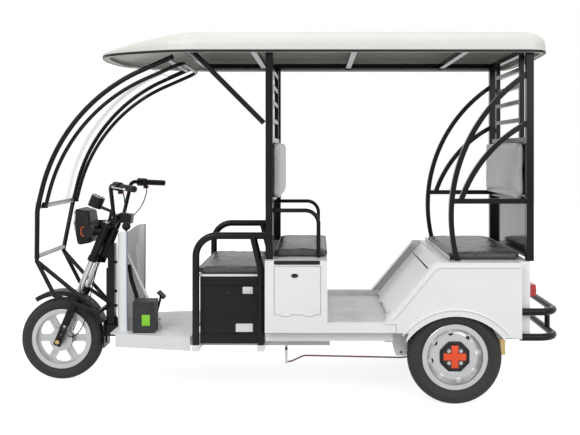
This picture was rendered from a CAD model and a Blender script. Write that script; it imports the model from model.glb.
import math

import bmesh
import bpy
import numpy as np
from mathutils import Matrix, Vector
from mathutils.bvhtree import BVHTree


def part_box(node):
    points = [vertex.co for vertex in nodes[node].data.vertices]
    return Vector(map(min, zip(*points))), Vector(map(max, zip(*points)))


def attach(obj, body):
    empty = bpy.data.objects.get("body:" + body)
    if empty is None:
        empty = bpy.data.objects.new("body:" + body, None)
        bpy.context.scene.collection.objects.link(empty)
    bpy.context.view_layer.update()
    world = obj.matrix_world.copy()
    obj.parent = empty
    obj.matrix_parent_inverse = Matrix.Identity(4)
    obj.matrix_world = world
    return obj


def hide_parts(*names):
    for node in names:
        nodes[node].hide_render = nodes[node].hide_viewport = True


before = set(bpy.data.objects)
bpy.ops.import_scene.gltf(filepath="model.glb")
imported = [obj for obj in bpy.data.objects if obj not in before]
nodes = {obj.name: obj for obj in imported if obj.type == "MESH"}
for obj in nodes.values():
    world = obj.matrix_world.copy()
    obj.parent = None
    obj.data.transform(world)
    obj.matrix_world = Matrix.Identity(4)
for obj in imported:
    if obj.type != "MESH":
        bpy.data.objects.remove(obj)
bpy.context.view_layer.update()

scene = bpy.context.scene
milli = 0.001  # the settings of pieces are in millimetres
bothSides = (("Left", -1), ("Right", 1))
roundEdge = 1.2  # radians up to which round pieces are shaded smooth
print("stage: frame loaded,", len(nodes), "nodes")


def mm(*v):
    return np.array(v, float) * milli


# quads between neighbouring rows and columns of a grid, wrapping where a direction is closed
def quadGrid(nu, nv, loopU=False, loopV=False):
    u = np.arange(nu if loopU else nu - 1)[:, None]
    v = np.arange(nv if loopV else nv - 1)[None, :]
    a, b = u * nv + v, u * nv + (v + 1) % nv
    c, d = ((u + 1) % nu) * nv + (v + 1) % nv, ((u + 1) % nu) * nv + v
    return np.stack([a, b, c, d], -1).reshape(-1, 4)


# each row divided by its length
def unitRows(a):
    return a / np.maximum(np.linalg.norm(a, axis=-1, keepdims=True), 1e-12)


# three right-angled directions, the third along the given axis
def axisFrame(axis, up=(0, 0, 1)):
    ez = unitRows(np.asarray(axis, float))
    ex = np.cross(np.asarray(up, float), ez)
    ex = unitRows(ex if np.linalg.norm(ex) > 1e-6 else np.cross((0, 1, 0), ez))
    return ex, np.cross(ez, ex), ez


# local x, y, z are laid along ex, ey and ez from the origin
def placed(part, origin, axis, up=(0, 0, 1)):
    ex, ey, ez = axisFrame(axis, up)
    verts, faces = part
    return np.asarray(origin) + verts[:, 0:1] * ex + verts[:, 1:2] * ey + verts[:, 2:3] * ez, faces


# several meshes as one: the faces of each count on from the points before it
def joined(parts):
    starts = np.cumsum([0] + [len(v) for v, f in parts[:-1]])
    faces = [f + s for (v, f), s in zip(parts, starts)]
    return np.concatenate([v for v, f in parts]), np.concatenate(faces)


def shadeSmooth(mesh):
    mesh.polygons.foreach_set("use_smooth", np.ones(len(mesh.polygons), dtype=bool))


# a grid becomes one closed mesh: doubled points at seams and poles are merged and faces turned outwards
def putPiece(name, part, finishName, body="chassis", crease=0.6):
    verts, faces = part
    mesh = bpy.data.meshes.new(name)
    mesh.from_pydata(verts.tolist(), [], faces.tolist())
    work = bmesh.new()
    work.from_mesh(mesh)
    bmesh.ops.remove_doubles(work, verts=work.verts, dist=1e-6)
    bmesh.ops.dissolve_degenerate(work, edges=work.edges, dist=1e-7)
    bmesh.ops.recalc_face_normals(work, faces=work.faces)
    work.to_mesh(mesh)
    work.free()
    shadeSmooth(mesh)
    mesh.set_sharp_from_angle(angle=crease)
    obj = bpy.data.objects.new(name, mesh)
    scene.collection.objects.link(obj)
    mesh.materials.append(mats[finishName])
    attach(obj, body)
    return obj


def evenAngles(count):
    return np.arange(count) * 2 * np.pi / count


# a * cosine and b * sine of each angle
def ovalAt(t, a, b):
    return np.stack([a * np.cos(t), b * np.sin(t)], -1)


def circle(radius, count):
    return ovalAt(evenAngles(count), radius, radius)


# half an oval, from +width to -width over the rise
def halfRound(width, rise):
    return ovalAt(np.linspace(0, np.pi, 7), width, rise)


# points r away from (x, z) at each angle, all at one y
def sideRing(x, y, z, r, a):
    return np.stack([x + r * np.cos(a), y + 0 * a, z + r * np.sin(a)], -1) * milli


# rounded rectangle: four quarter circles of radius r about the inner corners
def roundRect(w, h, r, count=5):
    quarter = ovalAt(np.linspace(0, np.pi / 2, count), r, r)
    x, y = w / 2 - r, h / 2 - r
    middle = np.array([[x, y], [-x, y], [-x, -y], [x, -y]])
    cosSin = [(math.cos(a), math.sin(a)) for a in np.arange(4) * np.pi / 2]
    return np.concatenate([quarter @ np.array([[c, s], [-s, c]]) + m for (c, s), m in zip(cosSin, middle)])


# each profile point (a, b) goes along the path as path + a * side + b * normal, with the ends drawn to a point
def sweptPart(path, profile, closed=False, ref=(0, 0, 1), taper=None):
    step = np.roll(path, -1, 0) - np.roll(path, 1, 0) if closed else np.gradient(path, axis=0)
    tangent = unitRows(step)
    side = unitRows(np.cross(np.asarray(ref, float), tangent))
    norm = np.cross(tangent, side)
    size = np.ones(len(path)) if taper is None else taper
    across = profile[None, :, 0:1] * side[:, None] + profile[None, :, 1:2] * norm[:, None]
    pts = path[:, None] + size[:, None, None] * across
    if not closed:
        ends = [np.repeat(pts[k].mean(0)[None, None], len(profile), 1) for k in (0, -1)]
        pts = np.concatenate([ends[0], pts, ends[1]])
    return pts.reshape(-1, 3), quadGrid(len(pts), len(profile), closed, True)


# a circle, its radius in millimetres, carried along an open path
def tubePart(path, radius, count, ref, taper=None):
    return sweptPart(path, circle(radius * milli, count), False, ref, taper)


# smooth curve through the points: on each span a cubic whose end slopes are half the step between the neighbours
def smoothPath(points, count):
    p = np.asarray(points, float)
    t = np.linspace(0, len(p) - 1, count)
    i = np.minimum(t.astype(int), len(p) - 2)
    f = (t - i)[:, None]
    a, b, c, d = p[np.maximum(i - 1, 0)], p[i], p[i + 1], p[np.minimum(i + 2, len(p) - 1)]
    square, cube = 2 * a - 5 * b + 4 * c - d, 3 * b - a - 3 * c + d
    return 0.5 * (2 * b + (c - a) * f + square * f ** 2 + cube * f ** 3)


# points at even steps along a polyline
def evenSteps(points, count, closed=False):
    p = np.asarray(points, float)
    p = np.concatenate([p, p[:1]]) if closed else p
    s = np.concatenate([[0], np.cumsum(np.linalg.norm(np.diff(p, axis=0), axis=1))])
    t = np.linspace(0, s[-1], count, endpoint=not closed)
    return np.stack([np.interp(t, s, p[:, k]) for k in range(p.shape[1])], -1)


# profile (radius, height) in millimetres, turned about local z
def turnedPart(profile, count=32):
    p = np.asarray(profile, float) * milli
    t = evenAngles(count)
    pts = np.stack([p[:, 0:1] * np.cos(t), p[:, 0:1] * np.sin(t), p[:, 1:2] + 0 * t], -1)
    return pts.reshape(-1, 3), quadGrid(len(p), count, False, True)


# distance to a hexagon's edge: half width / cos(angle from the flat's middle)
def hexReach(half, t):
    return half / np.cos((t + np.pi / 6) % (np.pi / 3) - np.pi / 6)


# hexagon head in millimetres: rings of the hexagon's reach, eased to a circle at the top
def hexPart(flat, tall, hole=0.0, count=48):
    t = evenAngles(count)
    hexa, inner = hexReach(flat / 2, t), np.full(count, max(hole, 1e-4))
    easing = np.minimum(hexa, flat * 0.52)
    radius = np.stack([inner, hexa, hexa, easing, easing * 0.94, inner])
    level = np.array([0, 0, 0.78, 0.94, 1, 1])[:, None] * tall + 0 * t
    pts = np.stack([radius * np.cos(t), radius * np.sin(t), level], -1) * milli
    return pts.reshape(-1, 3), quadGrid(6, count, True, True)


# flat plate in millimetres, of an outline about the origin, rising along z to an eased front edge
def platePart(outline, thick, ease):
    outward, middle = unitRows(outline) * ease, np.zeros_like(outline)
    rings = [(middle, 0), (outline, 0), (outline, thick - ease), (outline - outward * 0.3, thick - ease * 0.3),
             (outline - outward, thick), (middle, thick)]
    pts = np.stack([np.concatenate([r, np.full((len(r), 1), z)], 1) for r, z in rings]) * milli
    return pts.reshape(-1, 3), quadGrid(len(rings), len(outline), False, True)


# shader helpers

def setInputs(node, values):
    for key, value in values.items():
        node.inputs[key].default_value = value
    return node


def newMat(name, base, rough, metal=0.0, **extra):
    mat = bpy.data.materials.new(name)
    mat.use_nodes = True
    bsdf = mat.node_tree.nodes["Principled BSDF"]
    setInputs(bsdf, {"Base Color": (*base, 1), "Roughness": rough, "Metallic": metal, **extra})
    return mat, mat.node_tree, bsdf


def addNode(tree, kind, **values):
    node = tree.nodes.new(kind)
    for key, value in values.items():
        setattr(node, key, value)
    return node


def calc(tree, op, *terms, clamp=False):
    node = addNode(tree, "ShaderNodeMath", operation=op, use_clamp=clamp)
    for k, v in enumerate(terms):
        if isinstance(v, (int, float)):
            node.inputs[k].default_value = v
        else:
            tree.links.new(v, node.inputs[k])
    return node.outputs[0]


# value * factor + start
def scaled(tree, value, factor, start, clamp=False):
    return calc(tree, "ADD", calc(tree, "MULTIPLY", value, factor), start, clamp=clamp)


def objectPlace(tree):
    return addNode(tree, "ShaderNodeTexCoord").outputs["Object"]


def splitAxes(tree, vector):
    split = addNode(tree, "ShaderNodeSeparateXYZ")
    tree.links.new(vector, split.inputs[0])
    return split.outputs


def noiseNode(tree, vector, scale, detail=4.0, rough=0.55):
    node = addNode(tree, "ShaderNodeTexNoise")
    setInputs(node, {"Scale": scale, "Detail": detail, "Roughness": rough})
    tree.links.new(vector, node.inputs["Vector"])
    return node.outputs["Fac"]


def blendColour(tree, factor, first, second):
    node = addNode(tree, "ShaderNodeMix", data_type="RGBA")
    tree.links.new(factor, node.inputs["Factor"])
    for socket, value in ((node.inputs[6], first), (node.inputs[7], second)):
        if isinstance(value, tuple):
            socket.default_value = (*value, 1)
        else:
            tree.links.new(value, socket)
    return node.outputs[2]


def raisedBy(tree, bsdf, height, strength, distance=0.002):
    bump = setInputs(addNode(tree, "ShaderNodeBump"), {"Strength": strength, "Distance": distance})
    tree.links.new(height, bump.inputs["Height"])
    tree.links.new(bump.outputs["Normal"], bsdf.inputs["Normal"])


def makeGroup(name, **inputs):
    group = bpy.data.node_groups.new(name, "ShaderNodeTree")
    for label, kind in inputs.items():
        group.interface.new_socket(label, in_out="INPUT", socket_type="NodeSocket" + kind)
    for label, kind in (("Colour", "Color"), ("Rough", "Float"), ("Height", "Float")):
        group.interface.new_socket(label, in_out="OUTPUT", socket_type="NodeSocket" + kind)
    return group, addNode(group, "NodeGroupInput").outputs, addNode(group, "NodeGroupOutput").inputs


filmLook = dict(cloud=(4.5, 6.0, 0.62), fineDetail=3.0, span={"From Min": 0.42, "From Max": 0.75},
                roadSoil=0.62, roadFade=0.9, cloudShare=0.6, fineShare=0.4, spread=0.12)


# paint film: slow clouds soil the colour, fine grain moves the gloss, and low places gather dust
def makePaintFilm(look):
    g, i, o = makeGroup("paintFilm", Vector="Vector", Colour="Color", Soil="Color", Amount="Float", Rough="Float",
                        Grain="Float")
    low = noiseNode(g, i["Vector"], *look["cloud"])
    fine = noiseNode(g, i["Vector"], 1.0, look["fineDetail"])
    g.links.new(i["Grain"], fine.node.inputs["Scale"])
    cloud = setInputs(addNode(g, "ShaderNodeMapRange"), look["span"])
    g.links.new(low, cloud.inputs["Value"])
    fade = calc(g, "MULTIPLY", splitAxes(g, i["Vector"])[2], look["roadFade"])
    level = calc(g, "SUBTRACT", look["roadSoil"], fade, clamp=True)  # more soil near the road
    dust = calc(g, "ADD", cloud.outputs[0], calc(g, "MULTIPLY", level, fine))
    soiled = calc(g, "MULTIPLY", dust, i["Amount"], clamp=True)
    g.links.new(blendColour(g, soiled, i["Colour"], i["Soil"]), o["Colour"])
    both = scaled(g, low, look["cloudShare"], calc(g, "MULTIPLY", fine, look["fineShare"]))
    vary = scaled(g, calc(g, "SUBTRACT", both, 0.5), look["spread"], i["Rough"], clamp=True)
    g.links.new(vary, o["Rough"])
    g.links.new(fine, o["Height"])
    return g


vinylLook = dict(cells=620.0, stretch=(1.0, 0.34, 1.0), ridge=(17.0, 2.5, 0.45), sharp=7.0, cloud=(6.0, 5.0, 0.6),
                 grain=0.10, wornFrom=0.35, wornGain=1.1, wornFold=0.25, glossGain=0.22)


# vinyl: small cells for the grain, stretched ridges for the creases, clouds for the wear
def makeVinylGrain(look):
    g, i, o = makeGroup("vinylGrain", Vector="Vector", Colour="Color", Worn="Color", Rough="Float", Crease="Float")
    cell = setInputs(addNode(g, "ShaderNodeTexVoronoi", feature="SMOOTH_F1"), {"Scale": look["cells"]})
    g.links.new(i["Vector"], cell.inputs["Vector"])
    bent = addNode(g, "ShaderNodeVectorMath", operation="MULTIPLY")
    bent.inputs[1].default_value = look["stretch"]
    g.links.new(i["Vector"], bent.inputs[0])
    ridge = calc(g, "ABSOLUTE", calc(g, "SUBTRACT", noiseNode(g, bent.outputs[0], *look["ridge"]), 0.5))
    fold = calc(g, "SUBTRACT", 1.0, calc(g, "MULTIPLY", ridge, look["sharp"]), clamp=True)
    cloud = noiseNode(g, i["Vector"], *look["cloud"])
    grain = calc(g, "MULTIPLY", cell.outputs["Distance"], look["grain"])
    g.links.new(scaled(g, fold, i["Crease"], grain), o["Height"])
    rubbed = calc(g, "SUBTRACT", cloud, look["wornFrom"])
    worn = scaled(g, rubbed, look["wornGain"], calc(g, "MULTIPLY", fold, look["wornFold"]), clamp=True)
    g.links.new(blendColour(g, worn, i["Colour"], i["Worn"]), o["Colour"])
    g.links.new(scaled(g, calc(g, "SUBTRACT", cloud, 0.5), look["glossGain"], i["Rough"]), o["Rough"])
    return g


paintFilm, vinylGrain = makePaintFilm(filmLook), makeVinylGrain(vinylLook)


def groupedMat(name, group, base, rough, values, bump, distance=0.002, metal=0.0):
    mat, tree, bsdf = newMat(name, base, rough, metal)
    film = addNode(tree, "ShaderNodeGroup", node_tree=group)
    for key, value in {"Colour": base, "Rough": rough, **values}.items():
        film.inputs[key].default_value = (*value, 1) if isinstance(value, tuple) else value
    tree.links.new(objectPlace(tree), film.inputs["Vector"])
    tree.links.new(film.outputs["Colour"], bsdf.inputs["Base Color"])
    tree.links.new(film.outputs["Rough"], bsdf.inputs["Roughness"])
    raisedBy(tree, bsdf, film.outputs["Height"], bump, distance)
    return mat


# a single number as soil stands for a grey
def filmMat(name, base, rough, soil, amount, grain, bump, metal=0.0):
    soil = soil if isinstance(soil, tuple) else (soil, soil, soil)
    values = {"Soil": soil, "Amount": amount, "Grain": grain}
    return groupedMat(name, paintFilm, base, rough, values, bump, metal=metal)


roadDust = (0.4, 0.38, 0.35)
finishColumns = ("base", "rough", "soil", "amount", "grain", "bump", "metal")
finish = {
    "blackTube": ((0.006, 0.006, 0.007), 0.2, 0.05, 0.16, 260, 0.03),
    "whitePaint": ((0.80, 0.81, 0.815), 0.24, (0.6, 0.6, 0.58), 0.22, 240, 0.015),
    "creamRoof": ((0.63, 0.635, 0.595), 0.36, (0.53, 0.525, 0.48), 0.3, 180, 0.02),
    "roofLining": ((0.70, 0.69, 0.65), 0.55, (0.55, 0.54, 0.5), 0.4, 420, 0.2),
    "greyBar": ((0.42, 0.43, 0.44), 0.3, 0.25, 0.35, 300, 0.03, 0.4),
    "floorSheet": ((0.77, 0.775, 0.78), 0.42, 0.47, 0.85, 160, 0.05),
    "footPlastic": ((0.77, 0.78, 0.79), 0.34, (0.55, 0.56, 0.58), 0.45, 420, 0.06),
    "shieldEdge": ((0.22, 0.26, 0.37), 0.5, (0.35, 0.37, 0.42), 0.5, 700, 0.1),
    "blackMould": ((0.013, 0.013, 0.014), 0.4, 0.05, 0.3, 900, 0.12),
    "charcoalCase": ((0.030, 0.032, 0.033), 0.5, 0.1, 0.4, 800, 0.14),
    "panelGloss": ((0.012, 0.012, 0.014), 0.11, 0.06, 0.2, 200, 0.01),
    "darkSteel": ((0.06, 0.06, 0.065), 0.5, (0.16, 0.11, 0.07), 0.5, 500, 0.2),
    "redJacket": ((0.14, 0.025, 0.05), 0.45, roadDust, 0.2, 700, 0.05),
    "alloyRim": ((0.51, 0.515, 0.52), 0.34, 0.42, 0.35, 520, 0.05, 0.62),
    "steelRim": ((0.48, 0.485, 0.49), 0.33, 0.42, 0.4, 380, 0.06, 0.7),
    "chromeTube": ((0.52, 0.52, 0.53), 0.14, 0.5, 0.15, 300, 0.01, 1.0),
    "zincBolt": ((0.56, 0.57, 0.58), 0.34, roadDust, 0.2, 900, 0.05, 0.9),
    "brassNut": ((0.55, 0.40, 0.18), 0.36, (0.3, 0.2, 0.1), 0.4, 900, 0.05, 0.9),
    "redLamp": ((0.5, 0.012, 0.012), 0.12, roadDust, 0.1, 300, 0.02),
    "amberLamp": ((0.62, 0.09, 0.012), 0.14, roadDust, 0.1, 300, 0.02),
    "hubOrange": ((0.86, 0.085, 0.016), 0.38, (0.6, 0.05, 0.012), 0.4, 500, 0.03),
    "greenLabel": ((0.24, 0.62, 0.02), 0.4, (0.18, 0.42, 0.03), 0.5, 500, 0.03),
    "paperLabel": ((0.78, 0.77, 0.75), 0.55, (0.62, 0.6, 0.58), 0.5, 600, 0.05),
    "platedSign": ((0.62, 0.63, 0.63), 0.32, 0.45, 0.4, 700, 0.05, 0.7),
    "pedalRubber": ((0.16, 0.13, 0.11), 0.65, (0.25, 0.22, 0.2), 0.6, 900, 0.2),
    "dialFace": ((0.02, 0.02, 0.022), 0.35, 0.05, 0.3, 700, 0.02),
    "dialMark": ((0.75, 0.75, 0.73), 0.4, (0.6, 0.6, 0.58), 0.3, 700, 0.02),
}
mats = {key: filmMat(key, **dict(zip(finishColumns, row))) for key, row in finish.items()}
dimSheen = {"Specular IOR Level": 0.17}  # dark paint mirrors the white room less
for key in ["blackTube", "blackMould", "charcoalCase", "dialFace"]:
    setInputs(mats[key].node_tree.nodes["Principled BSDF"], dimSheen)
print("stage: paint finishes ready,", len(mats))

wear = {
    "whitePaint": "chassis_beams passenger_box rear_body_sides rear_body_back legshield passenger_door_left "
                  "passenger_door_right battery_door",
    "blackTube": "neck_column front_guard windscreen_frame inner_hoop roof_frame pillars back_ladders side_arches "
                 "driver_seat_frame driver_seat_box passenger_arm_rails rear_bumper driver_door_left "
                 "driver_door_right fork_clamps fork_sliders handlebar",
    "blackMould": "battery_pack driver_controls grips headlamp_housing gauge_pods front_mudguard",
    "darkSteel": "leaf_springs rear_axle", "steelRim": "rear_rim_left rear_rim_right", "alloyRim": "front_rim",
    "greyBar": "windscreen_bars", "creamRoof": "roof_shell", "panelGloss": "back_panels", "floorSheet": "floor_pan",
    "footPlastic": "footboard", "redLamp": "tail_lamps", "charcoalCase": "charger_box", "redJacket": "brake_linkage",
    "chromeTube": "fork_stanchions",
}


def dress(node, *given):
    mesh = nodes[node].data
    mesh.materials.clear()
    for mat in given:
        mesh.materials.append(mat)
    mesh.polygons.foreach_set("material_index", np.zeros(len(mesh.polygons), dtype=np.int32))


for key, names in wear.items():
    for node in names.split():
        dress(node, mats[key])


# faces whose normal or middle meets the test take the second finish
def dressSome(node, first, second, test):
    dress(node, mats[first], mats[second])
    mesh = nodes[node].data
    normal, middle = np.zeros(len(mesh.polygons) * 3), np.zeros(len(mesh.polygons) * 3)
    mesh.polygons.foreach_get("normal", normal)
    mesh.polygons.foreach_get("center", middle)
    chosen = test(normal.reshape(-1, 3).T, middle.reshape(-1, 3).T)
    mesh.polygons.foreach_set("material_index", chosen.astype(np.int32))
    mesh.update()


limits = dict(boxTop=0.6135, sill=0.4555, front=-1.03, lever=(0.052, 0.0062), plate=(-0.0502, -0.0438), shackle=1.13)
dressSome("roof_shell", "creamRoof", "roofLining", lambda n, m: n[2] < -0.05)
dressSome("driver_seat_box", "blackTube", "whitePaint", lambda n, m: m[2] > limits["boxTop"])
dressSome("floor_pan", "floorSheet", "whitePaint", lambda n, m: (np.abs(m[1]) > limits["sill"]) | (n[2] < -0.5))
dressSome("turn_signals", "blackMould", "amberLamp", lambda n, m: (n[0] < -0.5) & (m[0] < limits["front"]))
dressSome("brake_linkage", "redJacket", "whitePaint", lambda n, m: np.abs(m[0] - limits["lever"][0]) < limits["lever"][1])
dressSome("fork_sliders", "blackTube", "alloyRim",
          lambda n, m: (m[1] > limits["plate"][0]) & (m[1] < limits["plate"][1]))
dressSome("leaf_springs", "darkSteel", "brassNut", lambda n, m: (m[0] > limits["shackle"]) & (np.abs(n[1]) > 0.9))


# clear sheet and lamp glass: a faint haze moves the gloss, and ribs stand across the lamp
def glassMat(name, base, rough, ribs=0.0, bend=1.45):
    mat, tree, bsdf = newMat(name, base, rough, 0.0, **{"Transmission Weight": 1.0, "IOR": bend})
    place = objectPlace(tree)
    tree.links.new(scaled(tree, noiseNode(tree, place, 7.0), 0.03, rough), bsdf.inputs["Roughness"])
    if ribs:
        wave = calc(tree, "SINE", calc(tree, "MULTIPLY", splitAxes(tree, place)[1], ribs))
        raisedBy(tree, bsdf, wave, 0.4, 0.003)
    return mat


dress("windscreen", glassMat("clearSheet", (0.97, 0.985, 0.99), 0.0, bend=1.12))  # thin sheet: little bending at its edge
dress("headlamp_lens", glassMat("lampGlass", (0.93, 0.95, 0.97), 0.04, 700.0))

tyreLook = dict(base=(0.016, 0.016, 0.017), rough=0.62, lean=4.2, blocks=46.0, groove=0.72, rings=12.0, ring=0.86,
                tread=0.955, ribs=1100.0, ribHeight=0.12, grain=60.0, grainHeight=0.15, dark=(0.018, 0.018, 0.018),
                dusty=(0.052, 0.05, 0.047), cut=(0.008, 0.008, 0.008))


# tyre: chevron grooves and rings on the tread, fine ribs on the wall, from the wheel's own radius and angle
def tyreMat(name, look, middle, radius, width):
    mat, tree, bsdf = newMat(name, look["base"], look["rough"], **{"Specular IOR Level": 0.25})
    place = objectPlace(tree)
    x, y, z = [calc(tree, "SUBTRACT", v, float(m)) for v, m in zip(splitAxes(tree, place), middle)]
    r = calc(tree, "SQRT", scaled(tree, x, x, calc(tree, "MULTIPLY", z, z)))
    across = calc(tree, "DIVIDE", y, width / 2)
    lean = calc(tree, "MULTIPLY", calc(tree, "ABSOLUTE", across), look["lean"])
    wave = calc(tree, "SINE", scaled(tree, calc(tree, "ARCTAN2", z, x), look["blocks"], lean))
    groove = calc(tree, "GREATER_THAN", wave, look["groove"])
    ring = calc(tree, "COSINE", calc(tree, "MULTIPLY", across, look["rings"]))
    ring = calc(tree, "GREATER_THAN", ring, look["ring"])
    tread = calc(tree, "GREATER_THAN", r, radius * look["tread"])
    cut = calc(tree, "MULTIPLY", calc(tree, "MAXIMUM", groove, ring), tread)
    rib = calc(tree, "SINE", calc(tree, "MULTIPLY", r, look["ribs"]))
    rib = calc(tree, "MULTIPLY", rib, look["ribHeight"])
    grain = noiseNode(tree, place, look["grain"], 5.0)
    height = calc(tree, "SUBTRACT", calc(tree, "MULTIPLY", rib, calc(tree, "SUBTRACT", 1.0, tread)), cut)
    raisedBy(tree, bsdf, scaled(tree, grain, look["grainHeight"], height), 0.9, 0.003)
    dark = blendColour(tree, grain, look["dark"], look["dusty"])
    tree.links.new(blendColour(tree, cut, dark, look["cut"]), bsdf.inputs["Base Color"])
    tree.links.new(scaled(tree, grain, 0.25, 0.46), bsdf.inputs["Roughness"])
    return mat


for node in ["front_tyre", "rear_tyre_left", "rear_tyre_right"]:
    low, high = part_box(node)
    size = high - low
    dress(node, tyreMat(node + "Rubber", tyreLook, (low + high) / 2, size[2] / 2, size[1]))

hubLook = dict(face=0.458, stud=0.0078, cross=0.0006, black=(0.012, 0.012, 0.013), orange=(0.86, 0.085, 0.016),
               soiled=(0.7, 0.06, 0.012), bare=(0.42, 0.42, 0.43))


# rear hub: black plate, orange cross and bare studs, told apart by how far they stand out from the middle
def hubMat(name, look):
    mat, tree, bsdf = newMat(name, look["black"], 0.4)
    place = objectPlace(tree)
    out = calc(tree, "ABSOLUTE", splitAxes(tree, place)[1])
    stud = calc(tree, "GREATER_THAN", out, look["face"] + look["stud"])
    grain = noiseNode(tree, place, 90.0)
    orange = blendColour(tree, grain, look["orange"], look["soiled"])
    cross = calc(tree, "GREATER_THAN", out, look["face"] + look["cross"])
    plate = blendColour(tree, cross, look["black"], orange)
    tree.links.new(blendColour(tree, stud, plate, look["bare"]), bsdf.inputs["Base Color"])
    tree.links.new(stud, bsdf.inputs["Metallic"])
    tree.links.new(scaled(tree, grain, 0.3, 0.25), bsdf.inputs["Roughness"])
    return mat


for node in ["rear_hub_left", "rear_hub_right"]:
    dress(node, hubMat(node + "Paint", hubLook))
print("stage: carried nodes dressed")


# cushions: a superellipse block is remeshed, blown up as cloth, fitted to its own space, then piped along its edge

vinyl = {
    "seatVinyl": dict(base=(0.040, 0.038, 0.036), rough=0.33, worn=(0.085, 0.079, 0.074), crease=0.8),
    "backVinyl": dict(base=(0.51, 0.505, 0.495), rough=0.36, worn=(0.6, 0.6, 0.59), crease=0.3),
}
for key, v in vinyl.items():
    values = {"Worn": v["worn"], "Crease": v["crease"]}
    mats[key] = groupedMat(key, vinylGrain, v["base"], v["rough"], values, 0.55, 0.004)

seat, back = dict(finish="seatVinyl", fold=0.0017), dict(finish="backVinyl", fold=0.0005)
cushions = {
    "driverSeatPad": dict(node="driver_seat_cushion", rest=(2, -1), **seat),
    "passengerSeatPad": dict(node="passenger_seat_cushion", rest=(2, -1), **seat),
    "rearSeatPad": dict(node="rear_seat_cushion", rest=(2, -1), **seat),
    "partitionBackPad": dict(node="partition_backrest", rest=(0, -1), **back),
    "rearBackPad": dict(node="rear_backrest", rest=(0, 1), **back),
}
padding = dict(voxel=0.006, quickVoxel=0.012, pressure=4.0, frames=20, cap=0.010, inset=0.004, sink=0.0025,
               fall=0.004, drawn=0.012, skin=0.0004, pipe=0.0034, pipeIn=0.006, pipeBend=0.022, pipeBack=0.010,
               pipeSkin=0.0038, pipeSteps=260)


# superellipse block: x = a * cos(u)^p * cos(v)^q, y = b * cos(u)^p * sin(v)^q, z = c * sin(u)^p, signs kept
def padBlock(low, high, inset, p=0.16, q=0.14, nu=48, nv=160):
    def power(t, e):
        return np.sign(t) * np.abs(t) ** e
    mid, half = (low + high) / 2, (high - low) / 2 - inset
    u = np.linspace(-np.pi / 2, np.pi / 2, nu)[:, None]
    v = evenAngles(nv)[None, :]
    ring = power(np.cos(u), p)
    pts = np.stack([ring * power(np.cos(v), q), ring * power(np.sin(v), q), power(np.sin(u), p) + 0 * v], -1)
    return (mid + half * pts).reshape(-1, 3), quadGrid(nu, nv, False, True)


# folds: the product of two bent sine waves, and a finer wave near the edge, with p and q in metres
def foldHeight(p, q, edge):
    broad = np.sin(p * 61 + 2.1 * np.sin(q * 17)) * np.sin(q * 23 + 1.7 * np.sin(p * 29))
    return broad + 0.6 * np.sin(q * 88 + 3 * np.sin(p * 35)) * edge


def meshPoints(mesh):
    co = np.zeros(len(mesh.vertices) * 3)
    mesh.vertices.foreach_get("co", co)
    return co.reshape(-1, 3)


def setPoints(mesh, co):
    mesh.vertices.foreach_set("co", co.ravel())
    mesh.update()


pads = {}
for name, c in cushions.items():
    low, high = [np.array(v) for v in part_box(c["node"])]
    if c["rest"][0] == 0:  # a back pad is built lying down, then turned upright by swapping its axes
        order = [1, 2, 0]
        part = padBlock(low[order], high[order], padding["inset"])
        part = (part[0][:, [2, 0, 1]], part[1])
    else:
        part = padBlock(low, high, padding["inset"])
    obj = putPiece(name, part, c["finish"])
    mod = obj.modifiers.new("even", "REMESH")
    mod.mode = "VOXEL"
    mod.voxel_size = padding["voxel"]
    shape = bpy.data.meshes.new_from_object(obj.evaluated_get(bpy.context.evaluated_depsgraph_get()))
    obj.modifiers.clear()
    obj.data = shape
    obj.data.materials.clear()
    obj.data.materials.append(mats[c["finish"]])
    pads[name] = (obj, low, high)

for obj, low, high in pads.values():
    cloth = obj.modifiers.new("swell", "CLOTH")
    cloth.settings.use_pressure = True
    cloth.settings.uniform_pressure_force = padding["pressure"]
    cloth.settings.effector_weights.gravity = 0.0
    cloth.settings.quality = 5
    cloth.collision_settings.use_collision = False
    cloth.point_cache.frame_end = padding["frames"]
before = {name: meshPoints(obj.data) for name, (obj, low, high) in pads.items()}
for step in range(1, padding["frames"] + 1):
    scene.frame_set(step)
depth = bpy.context.evaluated_depsgraph_get()
for name, (obj, low, high) in pads.items():
    soft = obj.evaluated_get(depth).to_mesh()
    move = meshPoints(soft) - before[name]
    far = np.linalg.norm(move, axis=1, keepdims=True)
    obj.evaluated_get(depth).to_mesh_clear()
    obj.modifiers.clear()
    setPoints(obj.data, before[name] + move * np.minimum(1, padding["cap"] / np.maximum(far, 1e-9)))
scene.frame_set(1)

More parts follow.
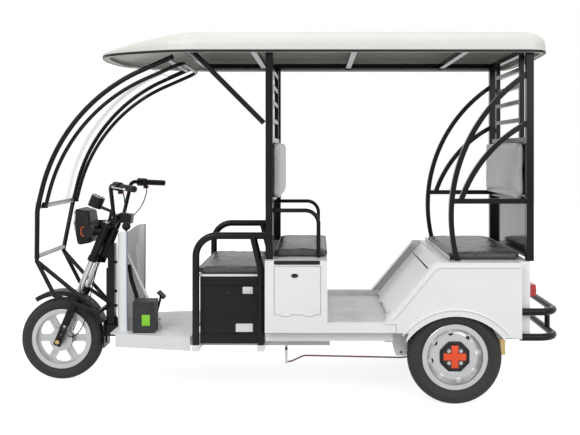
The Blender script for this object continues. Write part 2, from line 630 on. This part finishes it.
for name, (obj, low, high) in pads.items():
    c = cushions[name]
    axis, sign = c["rest"]
    first, second = flatAxes = [k for k in range(3) if k != axis]
    co = meshPoints(obj.data)
    mid, half = (low + high) / 2, (high - low) / 2
    t = (co - mid) / half  # -1 to 1 across the pad
    a, b = t[:, first], t[:, second]
    face = np.clip(-sign * t[:, axis], 0, 1)  # 1 on the free face
    middle = np.clip(1 - a ** 2, 0, 1) * np.clip(1 - b ** 4, 0, 1)
    edge = np.clip(np.maximum(np.abs(a), np.abs(b)) * 1.6 - 0.6, 0, 1)
    fold = foldHeight(co[:, first], co[:, second], edge)
    co[:, axis] += -sign * face * (c["fold"] * fold - padding["fall"] * (1 - middle))
    # sides draw in between the corners
    pull = 1 - padding["drawn"] * np.clip(1 - np.abs(b), 0, 1) ** 0.5 * np.abs(a) ** 3
    co[:, first] = mid[first] + (co[:, first] - mid[first]) * pull
    # the swollen form is fitted to its space, and pressed flat only where it rests
    insideLow, insideHigh = low + padding["skin"], high - padding["skin"]
    wantLow, wantHigh = insideLow.copy(), insideHigh.copy()
    (wantLow if sign < 0 else wantHigh)[axis] += sign * padding["sink"]
    co = wantLow + (co - co.min(0)) * (wantHigh - wantLow) / (co.max(0) - co.min(0))
    co = np.clip(co, insideLow, insideHigh)
    setPoints(obj.data, co)
    shadeSmooth(obj.data)
    sub = obj.modifiers.new("fine", "SUBSURF")
    sub.levels = sub.render_levels = 1
    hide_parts(c["node"])
    # piping: a rounded rectangle near the free face, drawn onto the skin
    wide, tall = (high - low)[flatAxes] - padding["pipeIn"]
    loop = evenSteps(roundRect(wide, tall, padding["pipeBend"]), padding["pipeSteps"], True)
    path = np.zeros((len(loop), 3))
    path[:, flatAxes] = loop + mid[flatAxes]
    path[:, axis] = (low if sign > 0 else high)[axis] + sign * padding["pipeBack"]
    tree = BVHTree.FromPolygons([Vector(v) for v in co], [tuple(p.vertices) for p in obj.data.polygons])
    path = np.array([tree.find_nearest(Vector(v))[0] for v in path])
    path = (path + np.roll(path, 1, 0) + np.roll(path, -1, 0)) / 3
    path = np.clip(path, low + padding["pipeSkin"], high - padding["pipeSkin"])
    piping = sweptPart(path, circle(padding["pipe"], 8), True, np.eye(3)[axis])
    putPiece(name + "Piping", piping, c["finish"], crease=roundEdge)
print("stage: cushions filled,", len(pads))


# black strip along the roof lip: the plan is the lip's own outline, run round as one closed path

roofEdge = dict(front=-945.0, back=1380.0, half=500.0, lip=1744.0, out=1.4, inward=4.0, below=2.0, above=10.0,
                corner=110.0, cornerBack=130.0, steps=420, tail=[(9, 0.5), (2, 0.24), (0, 0.03)],
                tip=[(0, 0.02), (5, 0.17), (15, 0.32), (31, 0.45), (56, 0.55), (95, 0.636), (150, 0.714), (215, 0.79),
                     (285, 0.86), (355, 0.92), (420, 0.964), (480, 0.99), (540, 1.0)])
back, half, bend, out = [roofEdge[k] for k in ("back", "half", "corner", "out")]
below, inward, above = [roofEdge[k] for k in ("below", "inward", "above")]
turn = np.radians(np.arange(7) * 14)
tip = np.array(roofEdge["tip"]) * [1, half] + [roofEdge["front"], 0]
corner = np.stack([back - roofEdge["cornerBack"] + bend * np.sin(turn), half - bend + bend * np.cos(turn)], -1)
side = np.concatenate([tip, corner, [[back - x, half * y] for x, y in roofEdge["tail"]]])
ring = evenSteps(np.concatenate([side, side[::-1] * [1, -1]])[::-1], roofEdge["steps"], True)
ring = np.insert(ring, 2, roofEdge["lip"], 1) * milli
lipStrip = mm([-out, -below], [inward, -below], [inward, above], [-out * 0.4, above], [-out, above - 1])
strip = sweptPart(ring, lipStrip, True)
putPiece("roofEdgeStrip", strip, "blackMould")
print("stage: roof strip laid")


# beads on the rear body sides: ridges along the arch and the panel's border, half sunk, with one round flank

beads = dict(face=500.0, arch=(894.0, 142.0, 334.0), archAngles=(38.0, 142.0), out=6.0, roundFlank=2.4, flatFlank=-2.0,
             border=[(584, 0, 424), (796, 0, 676), (812, 0, 683), (1209, 0, 683)], steps=60)
archLip = dict(wheel=(894.0, 234.0, 263.0), low=142.0, arc=300.0, angles=(19.9, 160.1), steps=90, sheet=(0.3, 3.0))
out, flat = beads["out"], beads["flatFlank"]
beadShape = np.concatenate([halfRound(out, beads["roundFlank"]), [[-out, flat], [out, flat]]]) * milli
for label, s in bothSides:
    x, z, r = beads["arch"]
    arch = sideRing(x, s * beads["face"], z, r, np.radians(np.linspace(*beads["archAngles"], beads["steps"])))
    border = evenSteps(beads["border"], beads["steps"]) * milli + mm(0, s * beads["face"], 0)
    parts = []
    for path in (arch, border):
        across = np.cross(unitRows(np.gradient(path, axis=0)), (0, s, 0))
        parts.append(sweptPart(path, beadShape, False, across))
    putPiece("panelBead" + label, joined(parts), "whitePaint")
    # arch lip: between a circle about the wheel and the lower arch circle, met along rays from the wheel's middle
    x, z, r = archLip["wheel"]
    a = np.radians(np.linspace(*archLip["angles"], archLip["steps"]))
    drop = z - archLip["low"]
    inner = -drop * np.sin(a) + np.sqrt((drop * np.sin(a)) ** 2 + archLip["arc"] ** 2 - drop ** 2)
    outer = np.maximum(r, inner + 0.5)
    near, far = [s * (beads["face"] - k) for k in archLip["sheet"]]
    rows = [sideRing(x, y, z, q, a) for q, y in ((outer, near), (inner, near), (inner, far), (outer, far))]
    lip = (np.stack(rows, 1).reshape(-1, 3), quadGrid(archLip["steps"], 4, False, True))
    putPiece("archLip" + label, lip, "whitePaint")
print("stage: beads pressed")


# small fittings: plates, latches, beads and strips set on the carried faces

def faceOf(y):
    return (0, -1 if y < 0 else 1, 0)


boxStrip = dict(place=(112.0, 495.0, 706.5), size=(226.0, 19.0, 3.0))
latch = dict(oval=(17.0, 10.0, 1.8), passenger=(101.0, 499.0, 643.0), driver=(-240.5, 337.0, 530.0),
             key=[(0, 0), (0, 3.015), (1.2, 3.015), (1.4, 3.555), (6.2, 3.555), (7.0, 3.015), (7.0, 0)])
for label, s in bothSides:
    (x, y, z), (w, h, t) = boxStrip["place"], boxStrip["size"]
    strip = placed(platePart(roundRect(w, h, 4), t, 1.0), mm(x, s * y, z), faceOf(s))
    putPiece("armRailBase" + label, strip, "blackMould")
    w, h, t = latch["oval"]
    for door in ("passenger", "driver"):
        x, y, z = latch[door]
        body = door + "_door_" + label.lower()
        parts = [platePart(ovalAt(evenAngles(40), w, h), t, 0.6), turnedPart(latch["key"], 24)]
        part = joined([placed(p, mm(x, s * y, z), faceOf(s)) for p in parts])
        putPiece(door + "Latch" + label, part, "blackMould", body)

seatStrip = dict(place=(872.0, 0.0, 718.0), size=(880.0, 28.0, 5.0))
w, h, t = seatStrip["size"]
strip = placed(platePart(evenSteps(roundRect(w, h, 6), 120, True), t, 1.5), mm(*seatStrip["place"]), (-1, 0, 0))
putPiece("rearSeatStrip", strip, "greyBar")
blanks = dict(
    charge=dict(place=(-682.0, -256.0, 371.5), size=(42.0, 57.0, 0.5), body="chassis", mat="greenLabel"),
    sticker=dict(place=(-144.0, -333.0, 542.0), size=(52.0, 35.0, 0.4), body="driver_door_left", mat="paperLabel"),
    plate=dict(place=(-161.5, -333.0, 351.0), size=(87.0, 42.0, 1.6), body="driver_door_left", mat="platedSign"))
for name, q in blanks.items():
    w, h, t = q["size"]
    blank = placed(platePart(roundRect(w, h, 2.5), t, 0.2), mm(*q["place"]), (0, -1, 0))
    putPiece(name + "Blank", blank, q["mat"], q["body"])

# seals behind the doors' gaps: a flat band carried round each opening
seals = dict(passenger=dict(low=(-2.0, 447.0), high=(231.0, 690.0), depth=489.5, mat="whitePaint"),
             driver=dict(low=(-369.5, 323.0), high=(-111.5, 567.5), depth=327.0, mat="blackTube"))
band = np.array([[-1, -1], [1, -1], [1, 1], [-1, 1]]) * mm(9.0, 0.8)
for door, q in seals.items():
    for label, s in bothSides:
        (x0, z0), (x1, z1) = q["low"], q["high"]
        ring = evenSteps(roundRect(x1 - x0, z1 - z0, 5.0), 160, True) + [(x0 + x1) / 2, (z0 + z1) / 2]
        path = np.insert(ring, 1, s * q["depth"], 1) * milli
        putPiece(door + "Seal" + label, sweptPart(path, band, True, (0, 1, 0)), q["mat"])
print("stage: box fittings set")

# legshield: blue-grey edge beads and the two braces behind it, with a hose and its band
shield = dict(x=-789.0, half=222.6, waist=12.0, foot=309.3, rise=520.7, bead=4.0, braceSize=8.0, hoseSize=11.0,
              braceLeft=[(-818, -120, 712), (-806, -120, 688), (-640, -120, 332), (-629, -120, 307)],
              braceRight=[(-815, 120, 715), (-811, 120, 690), (-799, 120, 470), (-792, 120, 307)],
              hose=[(-806, -96, 640), (-795, -92, 560), (-768, -90, 470), (-756, -92, 400), (-752, -96, 330),
                    (-752, -98, 309)], band=[(11.4, 0), (12.6, 0.4), (12.6, 11.6), (11.4, 12)])
t = np.linspace(0, 1, 40)
for label, s in bothSides:
    reach = s * (shield["half"] - shield["waist"] * (1 - t) ** 2)
    path = mm(*np.stack([shield["x"] + 0 * t, reach, shield["foot"] + shield["rise"] * t], -1))
    bead = tubePart(path, shield["bead"], 12, (1, 0, 0))
    putPiece("shieldBead" + label, bead, "shieldEdge", crease=roundEdge)
    brace = tubePart(smoothPath(mm(*shield["brace" + label]), 40), shield["braceSize"], 14, (0, 1, 0))
    putPiece("shieldBrace" + label, brace, "whitePaint", crease=roundEdge)
hose = smoothPath(mm(*shield["hose"]), 60)
ribbed = tubePart(hose, shield["hoseSize"], 16, (0, 1, 0), 1 + 0.07 * np.cos(np.linspace(0, 60 * np.pi, 60)))
putPiece("shieldHose", ribbed, "blackMould", crease=roundEdge)
clip = placed(turnedPart(shield["band"], 28), hose[30], hose[31] - hose[29])
putPiece("hoseBand", clip, "zincBolt")
print("stage: legshield fittings set")

# battery lid: a header strip above it, and a raised frame with round corners on its face
lid = dict(hinge=(575.0, 0.0, 384.0), lean=49.9, header=(337.0, 371.0, 0.4, 4.0), half=446.0, proud=0.4,
           frame=(20.0, 312.0, 424.0, 62.0), bead=(7.2, 2.52))
lean = math.radians(lid["lean"])
along, proud = np.array([math.cos(lean), 0, math.sin(lean)]), np.array([-math.sin(lean), 0, math.cos(lean)])
s0, s1, b0, b1 = lid["header"]
path = mm(*lid["hinge"]) + np.linspace(-1, 1, 12)[:, None] * mm(0, lid["half"], 0)
header = sweptPart(path, mm((s0, b0 + 1), (s0 + 1, b0), (s1, b0), (s1, b1), (s0, b1)), False, -proud)
putPiece("lidHeader", header, "whitePaint")
s0, s1, half, bend = lid["frame"]
ring = evenSteps(roundRect(s1 - s0, 2 * half, bend, 9), 240, True) + [(s0 + s1) / 2, 0]
path = mm(*lid["hinge"]) + (along * ring[:, :1] + np.array([0, 1, 0]) * ring[:, 1:] + proud * lid["proud"]) * milli
putPiece("lidFrame", sweptPart(path, halfRound(*lid["bead"]) * milli, True, proud), "whitePaint", "battery_door",
         roundEdge)
print("stage: battery lid framed")


# nuts and bolt heads: hexagons eased to a circle on top, each set along its own axis or out of its side
hexes = dict(
    forkCap=dict(flat=26, tall=8, axis=(0.3787, 0, 0.9255), at=[(-930, 82, 864)], body="steering", mat="zincBolt"),
    guardBolt=dict(flat=13, tall=5, axis=None, at=[(-1262, 222, 676), (-1169, 222, 495)], body="chassis", mat="zincBolt"),
    axleNut=dict(flat=22, tall=9, axis=None, at=[(-1192, 104, 223)], body="steering", mat="brassNut"),
    leverBolt=dict(flat=15, tall=5, axis=None, at=[(52, 305.2, 238)], body="chassis", mat="darkSteel"),
    seatBolt=dict(flat=12, tall=4, axis=(0, 0, 1), at=[(940, 430, 707.2), (1184, 430, 707.2)], body="chassis",
                  mat="zincBolt"),
)
for name, h in hexes.items():
    head = hexPart(h["flat"], h["tall"])
    parts = [placed(head, mm(x, s * y, z), h["axis"] or faceOf(s)) for side, s in bothSides for x, y, z in h["at"]]
    putPiece(name, joined(parts), h["mat"], h["body"])

# rear wheels: nuts on the studs, and an octagon plate and a plus of width 2w and reach l, all turned with the wheel
studs = dict(axle=(894.0, 458.0, 234.0), ring=42.0, nut=(17.0, 7.0, 5.2), turn=(("left", -1, 45), ("right", 1, 15)))
hubFace = dict(corner=78.6, plate=(453.7, 4.0), arm=(17.0, 56.0), cross=(457.6, 5.0), ease=1.2)
valve = dict(ring=124.0, back=20.0, turn=9.0, tilt=(-0.5, 0.87),
             shape=[(0, 0), (5, 0), (5, 4), (3.6, 7), (3.6, 17), (4.4, 17.5), (4.4, 25), (0, 25)])
octagon = ovalAt(np.radians(22.5 + 45 * np.arange(8)), hubFace["corner"], hubFace["corner"])
w, l = hubFace["arm"]
plus = np.array([(l, -w), (l, w), (w, w), (w, l), (-w, l), (-w, w)])
plus = np.concatenate([plus, -plus])
x, y, z = studs["axle"]
for label, s, first in studs["turn"]:
    body = "rear_wheel_" + label
    at = sideRing(x, s * y, z, studs["ring"], np.radians(first + 90 * np.arange(4)))
    nuts = joined([placed(hexPart(*studs["nut"]), p, faceOf(s)) for p in at])
    putPiece("studNuts" + label.title(), nuts, "zincBolt", body)
    c, d = math.cos(math.radians(first - 45)), math.sin(math.radians(first - 45))
    turned = np.array([[-s * c, d], [s * d, c]])  # row 0 and 1: where the arms point on the face
    for name, outline, (level, thick), finishName, slot in (
            ("hubPlate", octagon, hubFace["plate"], "blackMould", "black_plastic"),
            ("hubCross", plus, hubFace["cross"], "hubOrange", "hub_paint")):
        flat = placed(platePart(outline @ turned, thick, hubFace["ease"]), mm(x, s * level, z), faceOf(s))
        putPiece(name + label.title(), flat, finishName, body)
    a = math.radians(first + valve["turn"])
    inward, outward = valve["tilt"]
    axis = (inward * math.cos(a), s * outward, inward * math.sin(a))
    stem = placed(turnedPart(valve["shape"], 20), sideRing(x, s * (y - valve["back"]), z, valve["ring"], a), axis)
    putPiece("tyreValve" + label.title(), stem, "blackMould", body)
print("stage: nuts and valves set")

# amber rim on each turn signal's front corner: a thin tube along three corners of its hexagon
signal = dict(middle=(-1014.0, 172.5, 827.0), radius=35.0, size=2.6, angles=(118, 120, 150, 180, 210, 240, 242))
for label, s in bothSides:
    x, y, z = signal["middle"]
    a = np.radians(signal["angles"])
    path = evenSteps(sideRing(x, s * y, z, hexReach(signal["radius"] * np.cos(np.pi / 6), a), a), 40)
    rim = tubePart(path, signal["size"], 10, (0, 1, 0))
    putPiece("signalRim" + label, rim, "amberLamp", "steering", roundEdge)

# control levers: a flattened oval carried from the perch along the grip, thinner towards its ball end
levers = dict(grip=(-715.0, 385.0, 1062.0), along=(0.724, 0.687, -0.065), out=(-0.688, 0.725, 0.0), oval=(9.0, 6.5),
              steps=[(-150, 20), (-132, 40), (-110, 49), (-60, 52), (-8, 50)], ball=7.0)
switch = dict(along=-122.0, below=-16.5, size=(26, 22, 5), thick=20.0, ease=3.0, button=(12.8, 0, -11.0),
              buttonShape=[(0, 0), (7.5, 0), (7.5, 3), (6.5, 5), (0, 5.4)])
thin = np.interp(np.arange(40), [0, 8, 34, 39], [1.0, 0.8, 0.55, 0.6])
ballShape = ovalAt(np.linspace(-np.pi / 2, np.pi / 2, 14), levers["ball"], levers["ball"])
for label, s in bothSides:
    q, d, n = [np.array(levers[k]) * [1, s, 1] for k in ("grip", "along", "out")]
    path = smoothPath(np.array([q + d * a + n * b for a, b in levers["steps"]]) * milli, 40)
    arm = sweptPart(path, circle(1.0, 16) * mm(*levers["oval"]), False, (0, 0, 1), thin)
    ball = placed(turnedPart(ballShape, 20), path[-1], d)
    putPiece("handLever" + label, joined([arm, ball]), "zincBolt", "steering", roundEdge)
    at = (q + d * switch["along"]) * milli + mm(0, 0, switch["below"])
    block = placed(platePart(roundRect(*switch["size"]), switch["thick"], switch["ease"]), at, (0, 0, -1), (1, 0, 0))
    putPiece("switchBlock" + label, block, "blackMould", "steering")
    button = placed(turnedPart(switch["buttonShape"], 24), at + mm(*switch["button"]), (1, 0, 0))
    putPiece("switchButton" + label, button, "redLamp", "steering")

# dial: bezel ring, dark face, ticks at even angles and a needle
dial = dict(place=(-998.3, 0, 1002.7), axis=(0.3787, 0, 0.9255), radius=36.0, ticks=21, sweep=(-40.0, 220.0),
            needle=150.0, longTick=6.0, shortTick=3.4, tickIn=5.5, needleOut=9.0)
at, axis, r = mm(*dial["place"]), dial["axis"], dial["radius"]
bezel = [(r - 4, 0.2), (r, 0.2), (r, 3.2), (r - 1.2, 4.2), (r - 3, 4.0), (r - 4, 2.0), (r - 4, 0.2)]
putPiece("dialBezel", placed(turnedPart(bezel, 48), at, axis), "zincBolt", "steering")
disc = turnedPart([(0, 0.1), (r - 3.6, 0.1), (r - 3.6, 1.2), (0, 1.2)], 48)
putPiece("dialFace", placed(disc, at, axis), "dialFace", "steering")
ex, ey, ez = axisFrame(axis, (0, 1, 0))


# a small bar on the dial, pointing outwards at the given angle
def dialBar(angle, size, thick, ease, reach, level):
    out = ex * math.cos(angle) + ey * math.sin(angle)
    bar = platePart(roundRect(*size), thick, ease)
    return placed(bar, at + (out * reach + ez * level) * milli, axis, np.cross(axis, out))


marks = []
for k, a in enumerate(np.radians(np.linspace(*dial["sweep"], dial["ticks"]))):
    tall = dial["longTick"] if k % 5 == 0 else dial["shortTick"]
    marks.append(dialBar(a, (1.1, tall, 0.4), 0.5, 0.1, r - dial["tickIn"] - tall / 2, 1.2))
marks.append(dialBar(math.radians(dial["needle"]), (1.6, 22, 0.7), 0.7, 0.2, dial["needleOut"], 1.4))
putPiece("dialMarks", joined(marks), "dialMark", "steering")
print("stage: levers and dial set")

# pedal rubber with cross ribs, and ribs pressed along the foot plate
pedal = dict(place=(-661.0, 60.0, 450.0), axis=(0.7071, 0, 0.7071), face=3.0, size=(60.0, 50.0, 3.0), ribs=6, pitch=8.0)
axis = np.array(pedal["axis"])
at = mm(*pedal["place"]) + axis * pedal["face"] * milli
ex, ey, ez = axisFrame(axis, (0, 1, 0))
w, h, t = pedal["size"]
pad = [placed(platePart(roundRect(h, w, 6), t, 1.0), at, axis, (0, 1, 0))]
for k in range(pedal["ribs"]):
    step = (ez * t + ex * (k - (pedal["ribs"] - 1) / 2) * pedal["pitch"]) * milli
    pad.append(placed(platePart(roundRect(4.0, w - 8, 1.8), 2.2, 0.8), at + step, axis, (0, 1, 0)))
putPiece("pedalRubber", joined(pad), "pedalRubber")
foot = dict(top=305.0, ribs=11, pitch=44.0, ends=(-632.0, -446.0), rise=1.8, width=7.0, sink=0.2)
rib = (halfRound(foot["width"], foot["rise"]) - [0, foot["sink"]]) * milli
fade = np.interp(np.arange(24), [0, 3, 20, 23], [0.2, 1, 1, 0.2])
ribs = []
for k in range(foot["ribs"]):
    lane = evenSteps(mm(*[(x, (k - 5) * foot["pitch"], foot["top"]) for x in foot["ends"]]), 24)
    ribs.append(sweptPart(lane, rib, False, (0, 0, 1), fade))
putPiece("footRibs", joined(ribs), "footPlastic", crease=roundEdge)
print("stage: pedal and ribs set")

# free cables: smooth curves through a few points, as long as their own path
cables = dict(size=6.0, runs={
    "frontBrakeCable": [(-1150, -62, 246), (-1112, -70, 246), (-1068, -66, 300), (-1040, -58, 400), (-1022, -48, 500),
                        (-1004, -42, 580), (-990, -40, 640)],
    "leverCable": [(-800, 292, 1070), (-792, 270, 1010), (-808, 190, 930), (-860, 122, 872), (-930, 60, 868),
                   (-1000, 34, 868), (-1034, 30, 866)],
    "nearLeverCable": [(-800, -292, 1070), (-790, -268, 1000), (-812, -190, 920), (-866, -118, 866), (-930, -56, 862),
                       (-1000, -34, 860), (-1034, -30, 858)],
})
for name, points in cables["runs"].items():
    path = evenSteps(smoothPath(mm(*points), 400), 90)
    cable = tubePart(path, cables["size"] / 2, 10, (0.31, 0.9, 0.29))
    obj = putPiece(name, cable, "blackMould", "steering", roundEdge)
print("stage: cables laid,", len(cables["runs"]))


# camera at the photograph's place, and soft studio light

lens = dict(place=(0.2155, -4.421, 1.260), focal=49.6, sensor=36.0, shift=(-0.0483, -0.1164))
camData = bpy.data.cameras.new("photoCamera")
camData.lens = lens["focal"]
camData.sensor_width = lens["sensor"]
camData.shift_x, camData.shift_y = lens["shift"]
cam = bpy.data.objects.new("photoCamera", camData)
cam.location = lens["place"]
cam.rotation_euler = (math.pi / 2, 0, 0)
scene.collection.objects.link(cam)
scene.camera = cam

lamps = dict(keyPanel=dict(place=(-2.4, -4.4, 4.4), power=145.0, size=3.0),
             fillPanel=dict(place=(3.4, -4.2, 3.0), power=90.0, size=3.4),
             topPanel=dict(place=(0.2, 0.6, 5.2), power=42.0, size=4.5))
studio = dict(aim=(0, 0, 0.8), around=0.62, floorGlow=0.82, floorX=(-9, 9), floorY=(-6, 14), floorZ=-0.0008)
for name, q in lamps.items():
    lamp = bpy.data.lights.new(name, "AREA")
    lamp.energy = q["power"]
    lamp.size = q["size"]
    panel = bpy.data.objects.new(name, lamp)
    panel.location = q["place"]
    panel.rotation_euler = (Vector(studio["aim"]) - Vector(q["place"])).to_track_quat("-Z", "Y").to_euler()
    scene.collection.objects.link(panel)


# 1 for what the camera sees directly, in a mirror or through glass
def seenRays(tree):
    ray = addNode(tree, "ShaderNodeLightPath").outputs
    direct = calc(tree, "MAXIMUM", ray["Is Camera Ray"], ray["Is Glossy Ray"])
    return calc(tree, "MAXIMUM", direct, ray["Is Transmission Ray"])


world = bpy.data.worlds.new("studioWorld")
world.use_nodes = True
tree = world.node_tree
tree.nodes.clear()
back = setInputs(addNode(tree, "ShaderNodeBackground"), {"Color": (1, 1, 1, 1)})
tree.links.new(scaled(tree, seenRays(tree), 1.0 - studio["around"], studio["around"]), back.inputs["Strength"])
tree.links.new(back.outputs[0], addNode(tree, "ShaderNodeOutputWorld").inputs[0])
scene.world = world
scene.view_settings.view_transform = "Standard"

# pale floor: white where the camera looks, darker by the shadow under the wheels
floorX, floorY = np.meshgrid(np.linspace(*studio["floorX"], 3), np.linspace(*studio["floorY"], 3), indexing="ij")
floorPart = np.stack([floorX, floorY, np.full((3, 3), studio["floorZ"])], -1).reshape(-1, 3)
floorMesh = bpy.data.meshes.new("studioFloor")
floorMesh.from_pydata(floorPart.tolist(), [], quadGrid(3, 3).tolist())
studioFloor = bpy.data.objects.new("studioFloor", floorMesh)
scene.collection.objects.link(studioFloor)
floorMat, tree, bsdf = newMat("paleFloor", (0.42, 0.42, 0.42), 0.9, **{"Emission Color": (1, 1, 1, 1)})
cloud = noiseNode(tree, objectPlace(tree), 3.0)
tree.links.new(blendColour(tree, cloud, (0.41, 0.41, 0.41), (0.43, 0.43, 0.43)), bsdf.inputs["Base Color"])
tree.links.new(calc(tree, "MULTIPLY", seenRays(tree), studio["floorGlow"]), bsdf.inputs["Emission Strength"])
floorMesh.materials.append(floorMat)
print("stage: camera and studio set")
